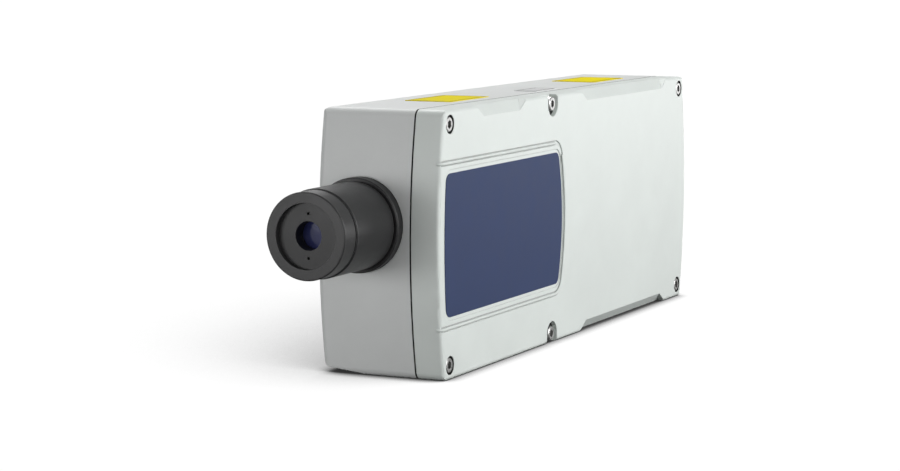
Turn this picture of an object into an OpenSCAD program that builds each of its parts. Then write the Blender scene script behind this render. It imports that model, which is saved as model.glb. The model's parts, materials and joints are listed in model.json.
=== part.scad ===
// Laser vibration sensor: a cast housing with bowed ends and a screwed lid, a focusing
// lens barrel on its front end, and the laser, optics and boards that it carries inside.
// The beam leaves towards -Y, the lid faces +X and the housing stands on a long narrow side.
// The origin is the middle of the standing face. Distances "from the front" start at the
// foremost line of the bowed front end.

/* [Housing] */
// Length between the two bowed ends
body_l = 365; // [358:1:400]
// Height as it stands
body_h = 140; // [138:1:156]
// Depth, lid included
body_d = 71; // [70:0.5:84]
// Share of the depth that the lid takes
lid_share = 0.231; // [0.215:0.001:0.25]
// Radius of the bowed ends
bow_r = 360; // [320:5:480]
// Wall of the two ends
end_wall = 6; // [5:0.5:7]
// Wall of the top and bottom
side_wall = 6; // [5:0.5:7]
// Wall at the back
back_wall = 5; // [4:0.5:5.5]
// Wall of the lid's face
lid_wall = 4; // [3:0.5:5]

/* [Edges] */
// Rounding of the lid's face at the two ends
round_end = 2; // [1.5:0.5:5]
// Rounding of the lid's face along the top and bottom
round_long = 2; // [1:0.5:4]
// Rounding of the long edges at the back
round_back = 5; // [4:0.5:8]
// Rounding of the back's edges at the two ends
round_back_end = 4; // [3:0.5:5]
// Rounding where the ends meet the top and bottom
round_corner = 4.5; // [3:0.5:7]
// Rise of the underside towards the back
under_rise = 3; // [0:0.5:3.5]
// Distance of the underside's flat part from the back
under_inset = 27.5; // [24:0.5:30]
// Shadow gap between the base and the lid
seam_gap = 0.8; // [0.6:0.1:1.2]

/* [Lid edge flats] */
// Height of a flat on the lid's face
flat_drop = 5.8; // [3:0.1:6]
// Depth of a flat on the top and bottom
flat_run = 5.5; // [4:0.5:7]
// Length of a flat's slanted end
flat_slope = 9.5; // [4:0.5:12]
// Start of the front flat, from the front
front_flat_y = 55; // [48:1:62]
// Length of the front flat
front_flat_l = 47; // [36:1:54]
// Start of the rear flats, from the front
rear_flat_y = 199; // [180:1:206]
// End of the rear flats, from the rear
rear_flat_inset = 45; // [40:1:60]

/* [Front label] */
// Front edge of the label, from the front
label_y = 7.2; // [7.1:0.1:12]
// Length of the label
label_l = 154.7; // [120:0.1:155]
// Height of the label
label_h = 74.6; // [60:0.1:76]
// Radius of its rear edge
label_r = 125; // [90:5:200]
// Radius of its corners
label_corner = 5; // [3:0.5:8]
// Thickness of the label
label_t = 0.4; // [0.2:0.1:0.4]

/* [Lid bead] */
// Distance of the bead from the middle height
bead_rise = 42.8; // [41.5:0.1:46]
// Rear end of the bead, from the front
bead_end = 165.9; // [165.5:0.1:175]
// Radius of the bead's corners
bead_corner = 10; // [7:0.5:14]
// Width of the bead
bead_w = 1.7; // [1.2:0.1:2.2]

/* [Lid screws] */
// Radius of the screw's shank
screw_r = 2.5; // [2:0.1:2.7]
// Length of the shank
screw_l = 20; // [17:0.5:24]
// Radius of the head
head_r = 4; // [3.6:0.1:4.3]
// Height of the head
head_h = 5; // [4:0.5:5.5]
// Corner screws, from the nearer end
corner_screw_y = 13.2; // [12.5:0.1:15]
// Corner screws, from the top or bottom
corner_screw_z = 7.5; // [7:0.1:9]
// Middle screws, from the front
mid_screw_y = 148; // [135:1:160]
// Middle screws, from the top or bottom
mid_screw_z = 5; // [4.5:0.1:6]
// Radius of a corner screw's counterbore
counterbore_r = 5; // [4.7:0.1:5.5]
// Radius of a middle screw's open pocket
pocket_r = 7.1; // [6:0.1:8]

/* [Lens barrel] */
// Reach of the barrel in front of the housing
barrel_reach = 58.4; // [56:0.2:70]
// Radius of the barrel
barrel_r = 23; // [22.8:0.1:23.6]
// Radius of the flange
flange_r = 24.9; // [24.6:0.1:28]
// Height of the flange above the housing
flange_h = 5; // [4:0.5:7]
// Distance of the beam from the back
beam_depth = 25.3; // [25:0.1:27]
// Height of the beam above the middle
beam_rise = 10; // [8:0.5:12]

/* [Focus ring] */
// Radius of the ring
ring_r = 22.4; // [22:0.1:22.8]
// Length of the ring
ring_l = 11.9; // [11.5:0.1:14]
// Radius of the recess in the ring's face
recess_r = 16.8; // [15:0.1:18]
// Depth of the recess
recess_d = 3.4; // [2.5:0.1:4]
// Radius of the clear opening
aperture_r = 7.4; // [6:0.1:8]
// Depth of the glass behind the retainer's face
aperture_d = 8; // [7.5:0.1:8.5]
// Distance between the two spanner holes
spanner_pitch = 22.5; // [21:0.5:25]
// Radius of a spanner hole
spanner_r = 0.8; // [0.5:0.1:1.2]

/* [Focusing] */
// Travel of the lens cell each way
cell_travel = 3; // [1:0.5:3]
// Running clearance of the round fits
run_fit = 0.05; // [0.03:0.01:0.08]

/* [Rear fittings] */
// Radius of the main connector's thread
main_plug_r = 11.5; // [10:0.5:12]
// Height of the main connector above the middle
main_plug_rise = 20; // [16:1:26]
// Radius of the signal connector's thread
signal_plug_r = 6; // [5:0.5:7]
// Height of the signal connector below the middle
signal_plug_drop = 22; // [18:1:26]
// Reach of the connectors behind the housing
plug_reach = 12; // [10:0.5:14]

/* [Mounting] */
// Distance between the mounting threads along the housing
mount_pitch_y = 250; // [230:1:260]
// Distance between the mounting threads in height
mount_pitch_z = 100; // [90:1:104]
// Radius of a mounting thread
mount_r = 3; // [2.5:0.5:3]
// Depth of a mounting thread
mount_thread_d = 8; // [6:0.5:8.5]

/* [Laser] */
// Share of the housing's length that the optical bench takes
bench_share = 0.652; // [0.6:0.001:0.655]
// Share of the depth that the laser's radius takes
laser_r_share = 0.183; // [0.155:0.001:0.184]
// Share of the bench's height at which the laser lies
laser_rise_share = 0.2087; // [0.206:0.0001:0.212]

/* [Hidden] */
$fn = 64;

// Overrun of a cut, and the fit of pieces that are pushed or screwed together
over = 1;
fit = 0.2;
front_y = -body_l / 2;
rear_y = body_l / 2;
mid_z = body_h / 2;
lid_x = body_d / 2;
back_x = -body_d / 2;
lid_d = lid_share * body_d;
rear_flat_l = body_l - rear_flat_y - rear_flat_inset;
seam_x = lid_x - lid_d;
floor_x = back_x + back_wall;
base_rim_x = seam_x - seam_gap / 2;
lid_rim_x = seam_x + seam_gap / 2;
beam_x = back_x + beam_depth;
beam_z = mid_z + beam_rise;

// Inside of the castings
cavity_corner = 6;
lip_l = 3;
lip_t = 1.6;
gasket_w = 2.4;
gasket_inset = 2.6;
boss_r = 7;
head_gap = 0.3;
socket_af = 4;
socket_d = 2.6;
head_edge = 0.5;
socket_share = 1.5;
tapped_d = screw_l - lid_d + head_h + head_gap + over;
rib_t = 2.5;
rib_h = 4;
rib_count = 5;

// Lid details
label_margin = 2;
label_sink_share = 1.1;
label_recess = label_sink_share * label_t;
bead_r = bead_w / 2;
groove_w = 0.6;
groove_d = 0.6;

// Top plates: length, width and place along and across
plate_t = 0.3;
warn_l = 50;
warn_w = 28;
warn_front_y = 67;
warn_rear_inset = 45;
warn_rear_y = body_l - warn_rear_inset - warn_l;
warn_inset = 18;
warn_x = back_x + warn_inset;
small_l = 30;
small_w = 15;
small_y = 172;
small_inset = 3.6;
small_x = seam_x - small_inset - small_w;
plate_corner = 1.5;

// Lens barrel, measured along the beam from the front of the housing
edge_cut = 0.7;
turn_gap = 0.4;
axial_play = 0.1;
ring_face = -barrel_reach;
ring_back = ring_face + ring_l;
tube_front = ring_back + turn_gap;
spigot_r = 20.7;
undercut_l = 1.2;
undercut = 0.8;
retainer_t = 3;
seal_t = 1;
glass_t = 3;
glass_r = 10.5;
glass_lip = 1.5;
retainer_face = ring_face + recess_d;
retainer_back = retainer_face + retainer_t;
glass_face = retainer_face + aperture_d;
glass_back = glass_face + glass_t;
glass_seat_r = glass_r - glass_lip;
web_t = 1.5;
web_back = glass_back + web_t;
sleeve_bore_r = 19;
sleeve_r = sleeve_bore_r - run_fit;
neck_r = 16.9;
cell_bore_r = 15;
sleeve_l = 11.6;
shoulder_front = tube_front + sleeve_l;
shoulder_t = 3;
shoulder_back = shoulder_front + shoulder_t;
keeper_t = 3;
keeper_r = neck_r + 1.2;
keeper_front = shoulder_back + axial_play;
keeper_back = keeper_front + keeper_t;
loose_fit = 0.3;
rear_bore_r = keeper_r + loose_fit;
spot_d = sag(abs(beam_rise) + flange_r + fit) + axial_play;
seal_r = 0.65;
seal_y = spot_d + 2 * seal_r;
pad_t = 3;
pad_back = end_wall + pad_t;
pad_r = 25.5;
flange_screw_r = 1.25;
flange_screw_head_r = 2.25;
flange_screw_pitch_r = (spigot_r + flange_r) / 2;
flange_skin = 1.5;
spigot_back = pad_back - over;

// Lens cell
cell_r = cell_bore_r - run_fit;
stop_gap = 1;
cell_front = web_back + cell_travel + stop_gap;
cell_l = 24;
cell_back = cell_front + cell_l;
cell_flange_t = 3;
cell_flange_front = keeper_back + cell_travel + stop_gap + loose_fit;
cell_flange_r = rear_bore_r - loose_fit;
lens_r = 12.5;
lens_edge = 3;
lens_depth = 5.5;
lens_front = cell_front + lens_depth;
lens_back = lens_front + lens_edge;
lens_seat_r = lens_r - glass_lip;
lens_bow_front = 42;
lens_bow_back = 60;
bow_facets = 360;
lock_t = 2.4;
rod_r = 1;
rod_pitch_r = (cell_r + cell_flange_r) / 2;
rod_front = keeper_back + 2 * loose_fit;
back_ring_t = 4;
back_ring_r = 13;
back_ring_back = spigot_back;

// Optical bench: it lies against the back, and pieces stand on its top
bench_y = 24.5;
bench_l = bench_share * body_l;
bench_t = 4;
beam_height = 12;
bench_top = beam_x - beam_height;
bench_under = bench_top - bench_t;
bench_edge_gap = 6.5;
bench_h = body_h - 2 * side_wall - 2 * bench_edge_gap;
bench_inset = 5;
bench_post_r = 5;
bench_screw_r = 2;
bench_head_r = 3.5;
bench_head_h = 3;
laser_y = 70.5;
laser_r = laser_r_share * body_d;
laser_tail = 3;
laser_z = mid_z - bench_h / 2 + laser_rise_share * bench_h;
cap_t = 5;
laser_l = bench_y + bench_l - laser_y - cap_t - laser_tail;
beam_hole_r = 3;
window_margin = 2.5;
clamp_w = 10;
clamp_wall = 2.8;
clamp_half = laser_r + clamp_wall;
clamp_inset = 29;
clamp_bite = 3;
clamp_toe = 5;
clamp_foot = laser_r + window_margin + clamp_toe;
clamp_screw_r = 1.25;
path_gap = 15.5;
column_a_y = 47.5;
column_b_y = 112.5;
cube_a = 12.7;
mirror_block = 14;
mirror_r = 6;
mirror_t = 3;
wave_y = 29.5;
wave_t = 4;
wave_block = 20;
wave_r = 7;
wave_glass_t = 1.5;
bragg_y = 80;
bragg_l = 26;
bragg_h = 15;
bragg_bore_r = 2.5;
bragg_crystal_l = 14;
detector_gap = 26;
detector_a = 18;
pcb_t = 1.6;
diode_r = 4.2;
diode_h = 5;

// Boards and supply
board_drop = 2;
board_x = base_rim_x - lip_l - board_drop;
board_edge = 9;
board_h = bench_h;
signal_board_y = 82;
power_share = 0.208;
power_board_l = power_share * body_l;
power_board_inset = 23;
power_board_y = body_l - power_board_inset - power_board_l;
spacer_post_gap = 12.4;
signal_board_l = bench_y + bench_l - bench_inset - spacer_post_gap + board_edge - signal_board_y;
spacer_af = 6;
spacer_inset = 4;
spacer_thread = 4;
board_screw_r = 1.5;
board_head_r = 2.8;
board_head_h = 1.6;
chip_t = 1.6;
chip_a = 20;
chip_count = 4;
chip_pitch = (signal_board_l - 4 * board_edge) / chip_count;
can_l = 52;
can_w = 40;
can_h_share = 0.09;
can_h = can_h_share * body_d;
can_wall = 0.8;
capacitor_r = 6;
capacitor_h = 9;
supply_inset = 8;
supply_y = power_board_y + supply_inset;
supply_share = 0.159;
supply_l = supply_share * body_l;
supply_h = 46;
supply_d_share = 0.31;
supply_d = supply_d_share * body_d;
supply_drop = 4;
supply_foot = 6;
supply_foot_t = 3;

// Rear fittings: each one seats on a flat spot that is cut into the bowed rear end
plug_share = 0.39;
plug_x = back_x + plug_share * body_d;
plug_wall = 1.6;
signal_wall = 0.8;
plug_flange_w = 2.5;
plug_flange_r = main_plug_r + plug_flange_w;
signal_flange_w = 2;
signal_flange_r = signal_plug_r + signal_flange_w;
plug_flange_t = 2.5;
rear_pad_extra = 2.5;
rear_pad_t = end_wall + rear_pad_extra;
seat_bite = 0.3;
socket_depth = 6;
insert_step = 0.4;
insert_t = 4;
contact_r = 0.6;
contact_d = 3;
main_rows = [[6.4, 8], [2.9, 4]];
signal_rows = [[2.9, 5]];
plug_inner_l = 8;
plug_nut_t = 3;
plug_nut_extra = 3;
light_r = 3;
light_proud = 1;
light_rise = -2;
vent_r = 7;
vent_proud = 3;
vent_drop = 46;
function sag(z) = bow_r - sqrt(pow(bow_r, 2) - pow(z, 2));
function seat(rise, r) = sag(abs(rise) + r + fit) + seat_bite;

// Extrusions and turned shapes along the three directions
module along_x(x0, x1) translate([x0, 0, 0]) rotate([90, 0, 90]) linear_extrude(x1 - x0) children();
module along_y(y0, y1) translate([0, y1, 0]) rotate([90, 0, 0]) linear_extrude(y1 - y0) children();
module turned_x() rotate([0, 90, 0]) rotate_extrude() children();
module turned_y() rotate([-90, 0, 0]) rotate_extrude() children();
module rod_x(r, x0, x1) translate([x0, 0, 0]) rotate([0, 90, 0]) cylinder(r = r, h = x1 - x0);
module rod_y(r, y0, y1) translate([0, y0, 0]) rotate([-90, 0, 0]) cylinder(r = r, h = y1 - y0);
module from_front(y, x = 0, z = mid_z) translate([x, front_y + y, z]) children();
module on_beam() from_front(0, beam_x, beam_z) children();
module on_bench(y, z) from_front(y, bench_top, z) children();
module both_heights(inset) for (s = [-1, 1]) translate([0, 0, s * (mid_z - inset)]) children();

// A block given by its lowest corner's place and its size, centred across Z
module block(x, y, z) translate([0, 0, -z / 2]) cube([x, y, z]);

// Outline in Y and Z with two bowed ends, flat top and bottom and rounded corners
module bowed_outline(y0, y1, half_h, r0, r1, corner) {
    lift = half_h - corner;
    c0 = y0 + r0;
    c1 = y1 - r1;
    cy0 = c0 - sqrt(pow(r0 - corner, 2) - pow(lift, 2));
    cy1 = c1 + sqrt(pow(r1 - corner, 2) - pow(lift, 2));
    dir0 = [cy0 - c0, lift] / (r0 - corner);
    dir1 = [cy1 - c1, lift] / (r1 - corner);
    reach = 2 * corner;
    difference() {
        intersection() {
            translate([y0 - over, -half_h]) square([y1 - y0 + 2 * over, 2 * half_h]);
            translate([c0, 0]) circle(r0);
            translate([c1, 0]) circle(r1);
        }
        for (m = [0, 1]) mirror([0, m]) {
            corner_wedge([cy0, lift], dir0 * reach, -reach);
            corner_wedge([cy1, lift], dir1 * reach, reach);
        }
    }
    for (s = [-1, 1]) {
        translate([cy0, s * lift]) circle(corner);
        translate([cy1, s * lift]) circle(corner);
    }
}

// The piece of a square corner that lies outside its rounding's two tangent points
module corner_wedge(c, side, reach)
    polygon([c, c + [0, abs(reach)], c + [reach, abs(reach)], c + side]);

// The housing's outline, drawn in by one inset at the ends and one at the top and bottom
module end_outline(ends, sides, corner)
    bowed_outline(front_y + ends, rear_y - ends, mid_z - sides, bow_r - ends, bow_r - ends, corner);

// Rectangle in X and Z with rounded corners, its underside drawn up towards the back
module bar_profile() {
    polygon([[back_x + round_back, under_rise - mid_z], [back_x + under_inset, -mid_z],
        [lid_x - round_long, -mid_z], [lid_x, -mid_z + round_long], [lid_x, mid_z - round_long],
        [lid_x - round_long, mid_z], [back_x + round_back, mid_z],
        [back_x, mid_z - round_back], [back_x, under_rise - mid_z + round_back]]);
    translate([back_x + round_back, mid_z - round_back]) circle(round_back);
    translate([back_x + round_back, under_rise - mid_z + round_back]) circle(round_back);
    for (s = [-1, 1]) translate([lid_x - round_long, s * (mid_z - round_long)]) circle(round_long);
}

// Disc about X whose rim is a bowed end, with its two edges rounded
module end_disc() turned_x() {
    polygon([[0, back_x], [bow_r - round_back_end, back_x], [bow_r, back_x + round_back_end],
        [bow_r, lid_x - round_end], [bow_r - round_end, lid_x], [0, lid_x]]);
    translate([bow_r - round_back_end, back_x + round_back_end]) circle(round_back_end);
    translate([bow_r - round_end, lid_x - round_end]) circle(round_end);
}

// Outside of the closed housing
module housing_form() translate([0, 0, mid_z]) intersection() {
    along_x(back_x, lid_x) end_outline(0, 0, round_corner);
    along_y(front_y - over, rear_y + over) bar_profile();
    translate([0, front_y + bow_r, 0]) end_disc();
    translate([0, rear_y - bow_r, 0]) end_disc();
}

// Places of the lid screws
module at_corner_screws() translate([0, 0, mid_z])
    for (y = [front_y + corner_screw_y, rear_y - corner_screw_y])
        translate([0, y, 0]) both_heights(corner_screw_z) children();
module at_mid_screws() from_front(mid_screw_y) both_heights(mid_screw_z) children();

// Places of the mounting threads and of the bench screws
module at_mounts() translate([0, 0, mid_z])
    for (y = [-1, 1], z = [-1, 1])
        translate([0, y * mount_pitch_y / 2, z * mount_pitch_z / 2]) children();
module at_bench_posts()
    for (y = [bench_inset, bench_l / 2, bench_l - bench_inset])
        from_front(bench_y + y) both_heights(mid_z - bench_h / 2 + bench_inset) children();

// Housing: the base casting, open towards the lid
module housing_base() color("lightgray") difference() {
    intersection() {
        housing_form();
        union() {
            difference() {
                translate([0, 0, mid_z]) along_x(back_x - over, base_rim_x)
                    square(2 * body_l, center = true);
                translate([0, 0, mid_z]) along_x(floor_x, base_rim_x + over)
                    end_outline(end_wall, side_wall, cavity_corner);
            }
            at_corner_screws() rod_x(boss_r, floor_x - over, base_rim_x);
            at_mid_screws() rod_x(boss_r, floor_x - over, base_rim_x);
            intersection() {
                on_beam() rod_y(pad_r, 0, pad_back);
                translate([0, 0, mid_z]) along_x(back_x - over, base_rim_x)
                    square(2 * body_l, center = true);
            }
            at_bench_posts() rod_x(bench_post_r, floor_x - over, bench_under);
            at_mounts() rod_x(boss_r, floor_x - over, bench_under);
            rear_pads();
        }
    }
    at_corner_screws() rod_x(screw_r, base_rim_x - tapped_d, base_rim_x + over);
    at_mid_screws() rod_x(screw_r, base_rim_x - tapped_d, base_rim_x + over);
    at_bench_posts() rod_x(bench_screw_r, floor_x, bench_under + over);
    at_mounts() rod_x(mount_r, back_x - over, back_x + mount_thread_d);
    on_supply() at_supply_screws() rod_x(board_screw_r, -supply_foot_t, over);
    on_beam() rod_y(spigot_r + fit, -over, pad_back + over);
    on_beam() rod_y(flange_r + fit, -over, spot_d);
    at_flange_screws() rod_x(flange_screw_r + fit / 2, -pad_back, over);
    rear_holes();
}

// Pads inside the rear wall, and the holes and spot faces through it
module at_rear(rise, r) from_front(body_l - seat(rise, r), plug_x, mid_z + rise) children();
module at_main_plug() at_rear(main_plug_rise, plug_flange_r) children();
module at_signal_plug() at_rear(-signal_plug_drop, signal_flange_r) children();
module rear_pads() from_front(body_l, plug_x) {
    translate([0, 0, main_plug_rise]) rod_y(plug_flange_r, -rear_pad_t, 0);
    translate([0, 0, -signal_plug_drop]) rod_y(signal_flange_r, -rear_pad_t, 0);
}
module rear_hole(hole_r, spot_r) {
    rod_y(hole_r, -2 * end_wall, over);
    rod_y(spot_r + fit, 0, end_wall);
}
module rear_holes() {
    at_main_plug() rear_hole(main_plug_r - plug_wall, plug_flange_r);
    at_signal_plug() rear_hole(signal_plug_r - signal_wall, signal_flange_r);
    at_rear(light_rise, light_r) rear_hole(light_r, light_r);
    at_rear(-vent_drop, vent_r) rear_hole(vent_r / 2, vent_r);
}

// Room that the lid and its seal leave round the lens flange's pad, where the box is a thin one
module pad_room() on_beam() rod_y(pad_r + fit, -over, pad_back + fit);

// Housing: the lid casting, with its lip, screw seats, edge flats, bead and label recess
module housing_lid() color("gainsboro") {
    difference() {
        union() {
            intersection() {
                housing_form();
                translate([lid_rim_x, front_y, 0]) cube([lid_d, body_l, body_h]);
            }
            lid_lip();
        }
        lid_cavity();
        translate([0, 0, mid_z]) along_x(lid_x - label_recess, lid_x + over) label_outline(label_margin);
        bead_grooves();
        edge_flats();
        at_corner_screws() {
            rod_x(screw_r + fit, base_rim_x - lip_l, lid_x);
            rod_x(counterbore_r, lid_x - head_h - head_gap, lid_x + over);
        }
        at_mid_screws() rod_x(screw_r + fit, base_rim_x - lip_l, lid_x);
        pad_room();
        from_front(mid_screw_y) for (m = [0, 1]) mirror([0, 0, m]) mid_pocket();
    }
    lid_bead();
}

// Register lip that reaches into the base, cut away round the bosses
module lid_lip() difference() {
    translate([0, 0, mid_z]) along_x(base_rim_x - lip_l, lid_rim_x + over)
        end_outline(end_wall + fit, side_wall + fit, cavity_corner);
    at_corner_screws() rod_x(boss_r + fit, base_rim_x - lip_l - over, lid_rim_x);
    at_mid_screws() rod_x(boss_r + fit, base_rim_x - lip_l - over, lid_rim_x);
}

// Hollow of the lid: it leaves the screw bosses and cross ribs standing
module lid_cavity() difference() {
    translate([0, 0, mid_z]) along_x(base_rim_x - lip_l - over, lid_x - lid_wall)
        end_outline(end_wall + fit + lip_t, side_wall + fit + lip_t, cavity_corner);
    at_corner_screws() rod_x(boss_r, lid_rim_x, lid_x);
    at_mid_screws() rod_x(pocket_r + lip_t, lid_rim_x, lid_x);
    for (i = [1:rib_count])
        from_front(i * body_l / (rib_count + 1) - rib_t / 2, lid_x - lid_wall - rib_h, 0)
            cube([rib_h + over, rib_t, body_h]);
}

// Open pocket of a middle screw: a round seat that runs out through the long edge
module mid_pocket() translate([lid_x - head_h - head_gap, 0, mid_z - mid_screw_z]) {
    rod_x(pocket_r, 0, head_h + over);
    translate([0, -pocket_r, 0]) cube([head_h + over, 2 * pocket_r, mid_screw_z + over]);
}

// Slanted flats cut along the lid's long edges
module edge_flats() {
    edge_flat(front_flat_y, front_flat_l);
    for (m = [0, 1]) translate([0, 0, mid_z]) mirror([0, 0, m]) translate([0, 0, -mid_z])
        edge_flat(rear_flat_y, rear_flat_l);
}
module edge_flat(y, length) from_front(y, 0, body_h) intersection() {
    along_x(lid_x - flat_run - over, lid_x + over)
        polygon([[0, -flat_drop], [length, -flat_drop], [length + flat_slope, 0],
            [length + flat_slope, over], [-flat_slope, over], [-flat_slope, 0]]);
    along_y(-flat_slope, length + flat_slope)
        polygon([[lid_x - flat_run, 0], [lid_x, -flat_drop], [lid_x + over, -flat_drop],
            [lid_x + over, over], [lid_x - flat_run, over]]);
}

// Outline of the label, grown by a margin
module label_outline(grow)
    bowed_outline(front_y + label_y - grow, front_y + label_y + label_l + grow, label_h / 2 + grow,
        bow_r - label_y + grow, label_r + grow, label_corner + grow);

// Half-round bead that frames the label on three sides and folds over the front edge
bead_big_r = label_r + bead_end - label_y - label_l;
bead_c = bead_end - bead_big_r;
bead_lift = bead_rise - bead_corner;
bead_corner_y = bead_c + sqrt(pow(bead_big_r - bead_corner, 2) - pow(bead_lift, 2));
bead_turn = asin(bead_lift / (bead_big_r - bead_corner));
bead_start = sag(bead_rise) + round_end;
module bead_arc(r, start, sweep) rotate([90, 0, 90]) rotate([0, 0, start])
    rotate_extrude(angle = sweep) translate([r, 0]) circle(bead_r);
module lid_bead() from_front(0, lid_x) {
    translate([0, bead_c, 0]) bead_arc(bead_big_r, -bead_turn, 2 * bead_turn);
    for (s = [-1, 1]) {
        translate([0, bead_corner_y, s * bead_lift])
            bead_arc(bead_corner, s > 0 ? bead_turn : -90, 90 - bead_turn);
        translate([0, 0, s * bead_rise]) {
            rod_y(bead_r, bead_start, bead_corner_y);
            translate([-round_end, bead_start, 0]) rotate([0, 0, -90])
                rotate_extrude(angle = 90) translate([round_end, 0]) circle(bead_r);
            translate([-round_end, bead_start - round_end, 0]) sphere(bead_r);
        }
    }
}

// Fine grooves along both sides of the bead
module bead_field(grow)
    bowed_outline(front_y - label_y - bead_corner, front_y + bead_end + grow, bead_rise + grow,
        bow_r, bead_big_r + grow, bead_corner + grow);
module bead_grooves() translate([0, 0, mid_z]) along_x(lid_x - groove_d, lid_x + over) difference() {
    bead_field(bead_r + groove_w);
    bead_field(-bead_r - groove_w);
}

// Seal between the two castings
module lid_gasket() color("dimgray") difference() {
    translate([0, 0, mid_z]) along_x(base_rim_x, lid_rim_x) difference() {
        end_outline(gasket_inset, gasket_inset, cavity_corner);
        end_outline(gasket_inset + gasket_w, gasket_inset + gasket_w, cavity_corner);
    }
    at_corner_screws() rod_x(screw_r + fit, base_rim_x - over, lid_rim_x + over);
    at_mid_screws() rod_x(screw_r + fit, base_rim_x - over, lid_rim_x + over);
    pad_room();
}

// Socket head screw that points to -X, its head's seat at x = 0
module cap_screw(r, length, head, height, af, sink) difference() {
    union() {
        rod_x(r, -length, height - head_edge);
        turned_x() polygon([[0, 0], [head, 0], [head, height - head_edge],
            [head - head_edge, height], [0, height]]);
    }
    translate([height - sink, 0, 0]) rotate([0, 90, 0])
        cylinder(r = af / sqrt(3), h = sink + over, $fn = 6);
}
module lid_screw() cap_screw(screw_r, screw_l, head_r, head_h, socket_af, socket_d);
module lid_corner_screws() color("silver") translate([lid_x - head_h - head_gap, 0, 0])
    at_corner_screws() lid_screw();
module lid_middle_screws() color("silver") translate([lid_x - head_h - head_gap, 0, 0])
    at_mid_screws() lid_screw();

// Plates on the outside
module front_label() color("darkslateblue") translate([0, 0, mid_z])
    along_x(lid_x - label_recess, lid_x - label_recess + label_t) label_outline(0);
module top_plate(y, x, length, width) from_front(y, x, body_h) linear_extrude(plate_t) {
    translate([plate_corner, 0]) square([width - 2 * plate_corner, length]);
    translate([0, plate_corner]) square([width, length - 2 * plate_corner]);
    for (px = [plate_corner, width - plate_corner], py = [plate_corner, length - plate_corner])
        translate([px, py]) circle(plate_corner);
}
module top_plate_front() color("gold") top_plate(warn_front_y, warn_x, warn_l, warn_w);
module top_plate_rear() color("gold") top_plate(warn_rear_y, warn_x, warn_l, warn_w);
module top_plate_middle() color("whitesmoke") top_plate(small_y, small_x, small_l, small_w);

// Lens barrel: the flange seats on the housing's spot face, and the barrel screws into it
module at_flange_screws() on_beam() for (a = [45:90:315]) rotate([0, a, 0])
    translate([flange_screw_pitch_r, pad_back, 0]) rotate([0, 0, 90]) children();
module lens_flange() color("#33353a") difference() {
    on_beam() turned_y() polygon([
        [spigot_r, -flange_h], [flange_r - edge_cut, -flange_h], [flange_r, -flange_h + edge_cut],
        [flange_r, spot_d], [spigot_r, spot_d]]);
    at_flange_screws() rod_x(flange_screw_r, -pad_back - flange_h + flange_skin, 0);
}
module flange_screws() color("silver") at_flange_screws()
    cap_screw(flange_screw_r, pad_back + flange_h - 2 * flange_skin, flange_screw_head_r,
        flange_screw_head_r, socket_share * flange_screw_r, flange_screw_r);
module flange_seal() color("#1c1c1e") on_beam() turned_y()
    translate([spigot_r + fit - seal_r, seal_y]) circle(seal_r);
module lens_barrel() color("#2c2e32") on_beam() turned_y() polygon([
    [sleeve_bore_r, tube_front], [barrel_r - edge_cut, tube_front],
    [barrel_r, tube_front + edge_cut], [barrel_r, -flange_h - undercut_l],
    [barrel_r - undercut, -flange_h - undercut_l], [barrel_r - undercut, -flange_h],
    [spigot_r, -flange_h], [spigot_r, seal_y - seal_r],
    [spigot_r + fit - 2 * seal_r, seal_y - seal_r], [spigot_r + fit - 2 * seal_r, seal_y + seal_r],
    [spigot_r, seal_y + seal_r], [spigot_r, spigot_back], [rear_bore_r, spigot_back],
    [rear_bore_r, shoulder_back], [neck_r + run_fit, shoulder_back],
    [neck_r + run_fit, shoulder_front], [sleeve_bore_r, shoulder_front]]);
module at_rods() for (s = [-1, 1]) translate([s * rod_pitch_r, 0, 0]) children();
module barrel_back_ring() color("#4a4c50") on_beam() difference() {
    rod_y(rear_bore_r, back_ring_back - back_ring_t, back_ring_back);
    rod_y(back_ring_r, 0, back_ring_back + over);
    at_rods() rod_y(rod_r, 0, back_ring_back + over);
}
module guide_rods() color("silver") on_beam() at_rods() rod_y(rod_r, rod_front, back_ring_back);

// Focus ring: it turns on the barrel's bore, and its neck holds the keeper behind the shoulder
module focus_ring() color("#303236") on_beam() turned_y() polygon([
    [recess_r, ring_face], [ring_r - edge_cut, ring_face], [ring_r, ring_face + edge_cut],
    [ring_r, ring_back - edge_cut], [ring_r - edge_cut, ring_back], [sleeve_r, ring_back],
    [sleeve_r, shoulder_front - axial_play], [neck_r, shoulder_front - axial_play],
    [neck_r, keeper_back], [cell_bore_r, keeper_back], [cell_bore_r, web_back],
    [glass_seat_r, web_back], [glass_seat_r, glass_back], [glass_r, glass_back],
    [glass_r, retainer_back], [recess_r, retainer_back]]);
module ring_keeper() color("#4a4c50") on_beam() difference() {
    rod_y(keeper_r, keeper_front, keeper_back);
    rod_y(neck_r, keeper_front - over, keeper_back + over);
}
module window_retainer() color("#3a3c40") on_beam() difference() {
    union() {
        rod_y(recess_r, retainer_face, retainer_back);
        rod_y(glass_r, retainer_back, glass_face - seal_t);
    }
    rod_y(aperture_r, retainer_face - over, glass_face);
    for (s = [-1, 1]) translate([0, 0, s * spanner_pitch / 2])
        rod_y(spanner_r, retainer_face - over, retainer_back - over);
}
module window_seal() color("#1c1c1e") on_beam() difference() {
    rod_y(glass_r, glass_face - seal_t, glass_face);
    rod_y(aperture_r, glass_face - seal_t - over, glass_face + over);
}
module front_window() color("midnightblue") on_beam() rod_y(glass_r, glass_face, glass_back);

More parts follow.
